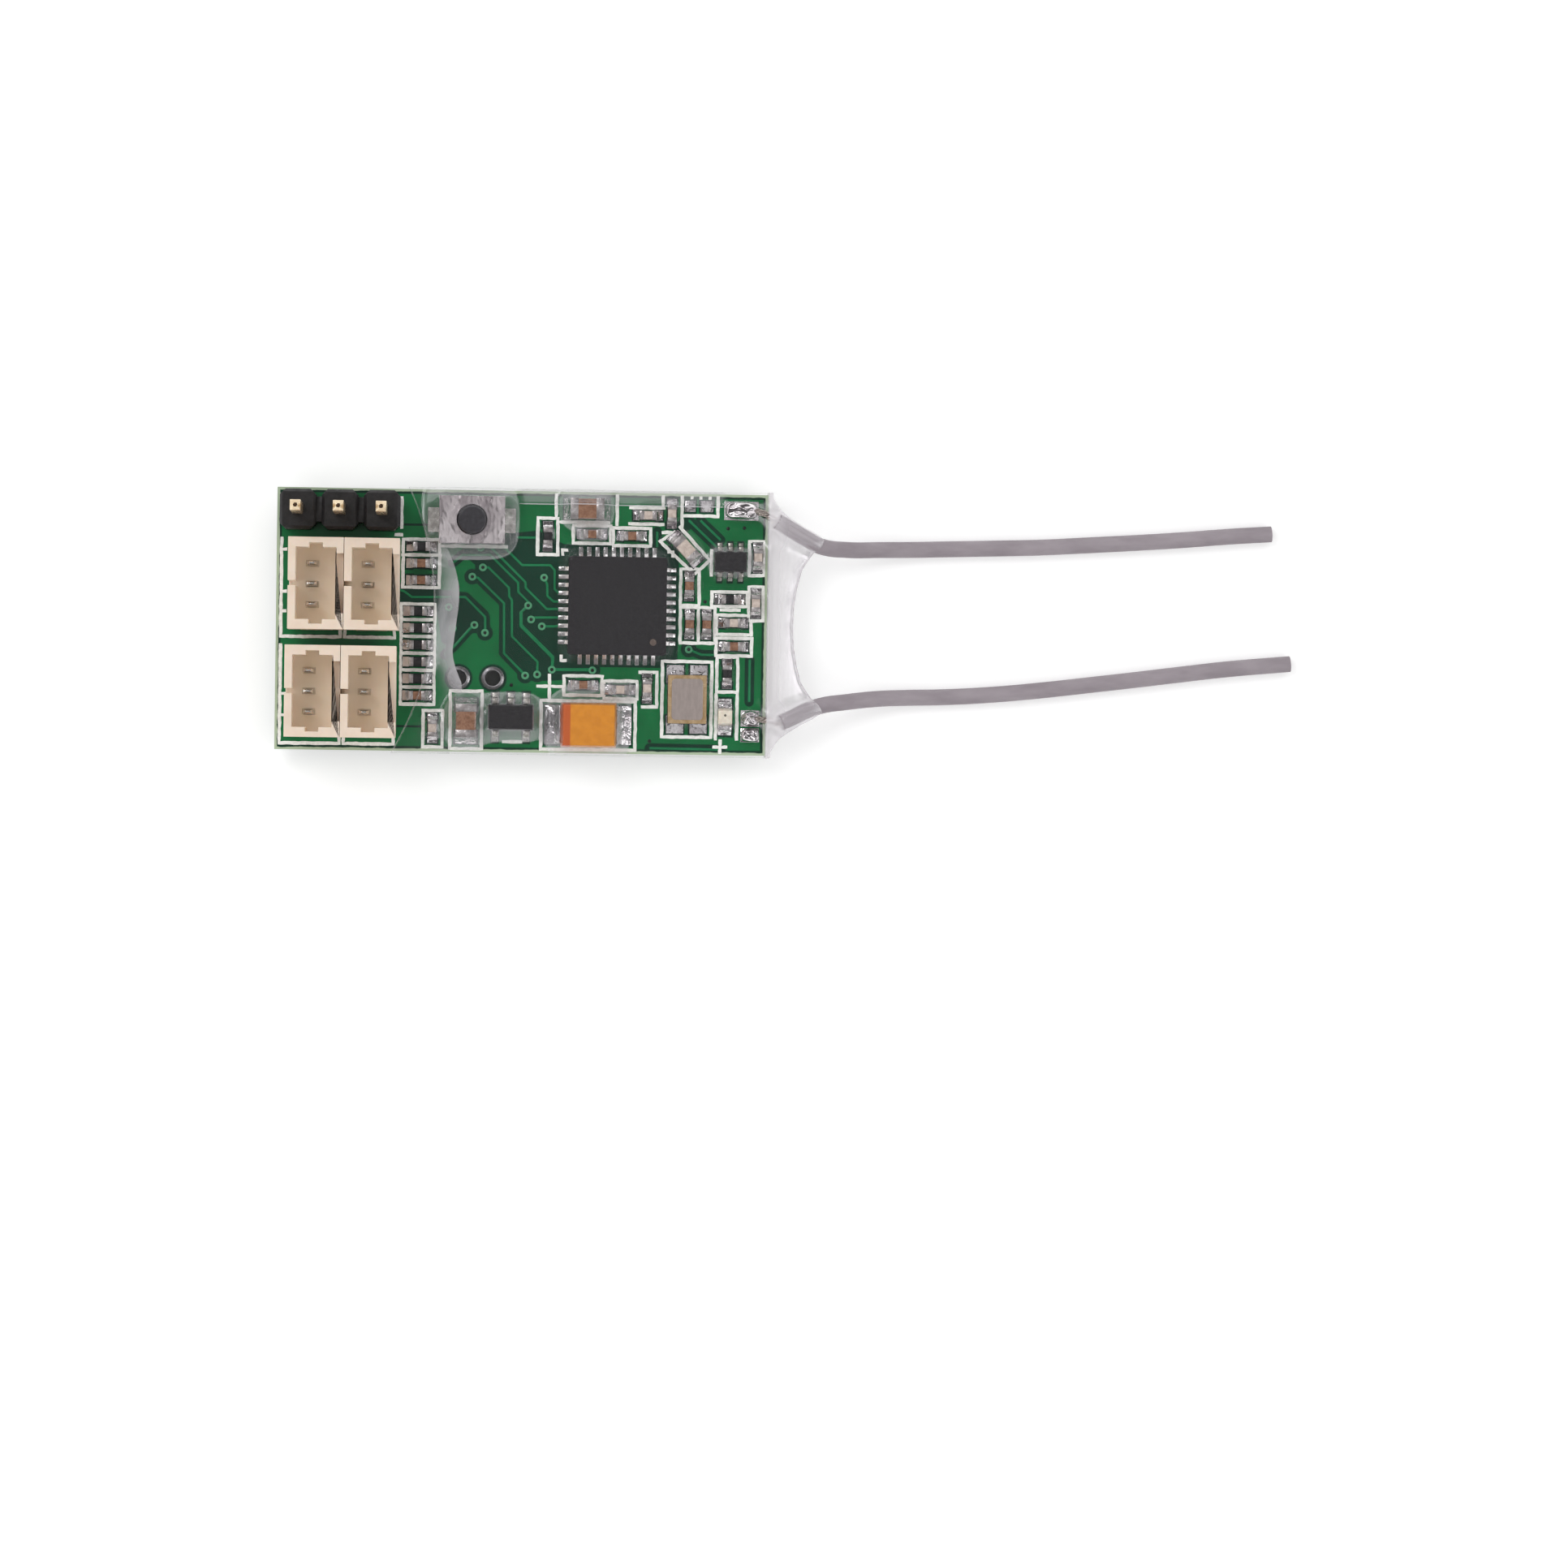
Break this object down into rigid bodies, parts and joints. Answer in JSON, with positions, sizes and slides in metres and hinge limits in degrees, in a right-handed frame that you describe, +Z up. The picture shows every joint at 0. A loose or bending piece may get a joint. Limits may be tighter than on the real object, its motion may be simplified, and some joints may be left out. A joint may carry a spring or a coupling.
{
  "type": "rc receiver",
  "caption": "Small radio control receiver board in a clear shrink sleeve, with servo sockets, a pin header, a bind button and two short wire antennas.",
  "frame": {"origin": "below the centre of the circuit board, on the plane that the sleeve's flat underside and the solder tails rest on", "axes": "+X along the board from the sockets towards the antennas, +Y towards the header's long edge, +Z up through the parts side"},
  "size_m": [0.0628, 0.0164, 0.0109],
  "materials": {
    "board_mask": "glossy green solder mask over glass-fibre laminate",
    "legend_white": "matt screen-printed ink",
    "header_plastic": "satin moulded",
    "pin_gold": "gold flashed",
    "solder": "bright tin solder",
    "socket_nylon": "satin moulded nylon",
    "pin_tin": "tin plated",
    "switch_plastic": "satin moulded",
    "switch_steel": "stamped stainless sheet",
    "plunger_plastic": "satin moulded",
    "chip_resin": "satin moulded epoxy",
    "lead_tin": "tin plated",
    "crystal_ceramic": "fired ceramic",
    "ring_gold": "gold plated",
    "lid_metal": "brushed",
    "tantalum_resin": "satin moulded epoxy",
    "lamp_resin": "translucent pale resin",
    "resistor_black": "glazed black over white ceramic",
    "capacitor_brown": "fired ceramic",
    "capacitor_pale": "fired ceramic",
    "coil_pale": "fired ceramic",
    "film_clear": "clear shrink film",
    "antenna_jacket": "extruded grey insulation",
    "strand_tin": "tinned copper strands"
  },
  "bodies": {
    "receiver": {"board": "board_mask", "legend_print": "legend_white", "header_body": "header_plastic", "header_pin_1": "pin_gold", "header_pin_2": "pin_gold", "header_pin_3": "pin_gold", "header_solder": "solder", "servo_socket_1": "socket_nylon", "servo_socket_2": "socket_nylon", "servo_socket_3": "socket_nylon", "servo_socket_4": "socket_nylon", "socket_pins_1": "pin_tin", "socket_pins_2": "pin_tin", "socket_pins_3": "pin_tin", "socket_pins_4": "pin_tin", "socket_solder": "solder", "switch_base": "switch_plastic", "switch_dome": "switch_steel", "switch_cover": "switch_steel", "switch_terminals": "lead_tin", "radio_chip": "chip_resin", "radio_chip_contacts": "lead_tin", "regulator_body": "chip_resin", "regulator_leads": "lead_tin", "aerial_chip_body": "chip_resin", "aerial_chip_leads": "lead_tin", "crystal_case": "crystal_ceramic", "crystal_ring": "ring_gold", "crystal_lid": "lid_metal", "crystal_lands": "lead_tin", "tantalum_body": "tantalum_resin", "tantalum_terminals": "lead_tin", "status_lamp_body": "lamp_resin", "status_lamp_terminals": "lead_tin", "chip_resistors": "resistor_black", "resistor_terminals": "lead_tin", "brown_capacitors": "capacitor_brown", "pale_capacitors": "capacitor_pale", "capacitor_terminals": "lead_tin", "large_capacitors": "capacitor_brown", "large_capacitor_terminals": "lead_tin", "matching_coil": "coil_pale", "matching_coil_terminals": "lead_tin", "chip_solder": "solder", "hole_linings": "solder", "test_lands": "solder", "antenna_lands": "solder", "controller_body": "chip_resin", "controller_leads": "lead_tin", "film_sleeve": "film_clear", "upper_antenna": "antenna_jacket", "lower_antenna": "antenna_jacket", "upper_antenna_core": "strand_tin", "lower_antenna_core": "strand_tin", "upper_antenna_joint": "solder", "lower_antenna_joint": "solder"},
    "bind_button": {"switch_plunger": "plunger_plastic"}
  },
  "joints": [
    {"name": "bind_press", "type": "slide", "parent": "receiver", "child": "bind_button", "axis": [0, 0, -1], "range_m": [0, 0.00025], "stiffness_N_per_m": 6400, "deforming": ["switch_dome"]}
  ]
}
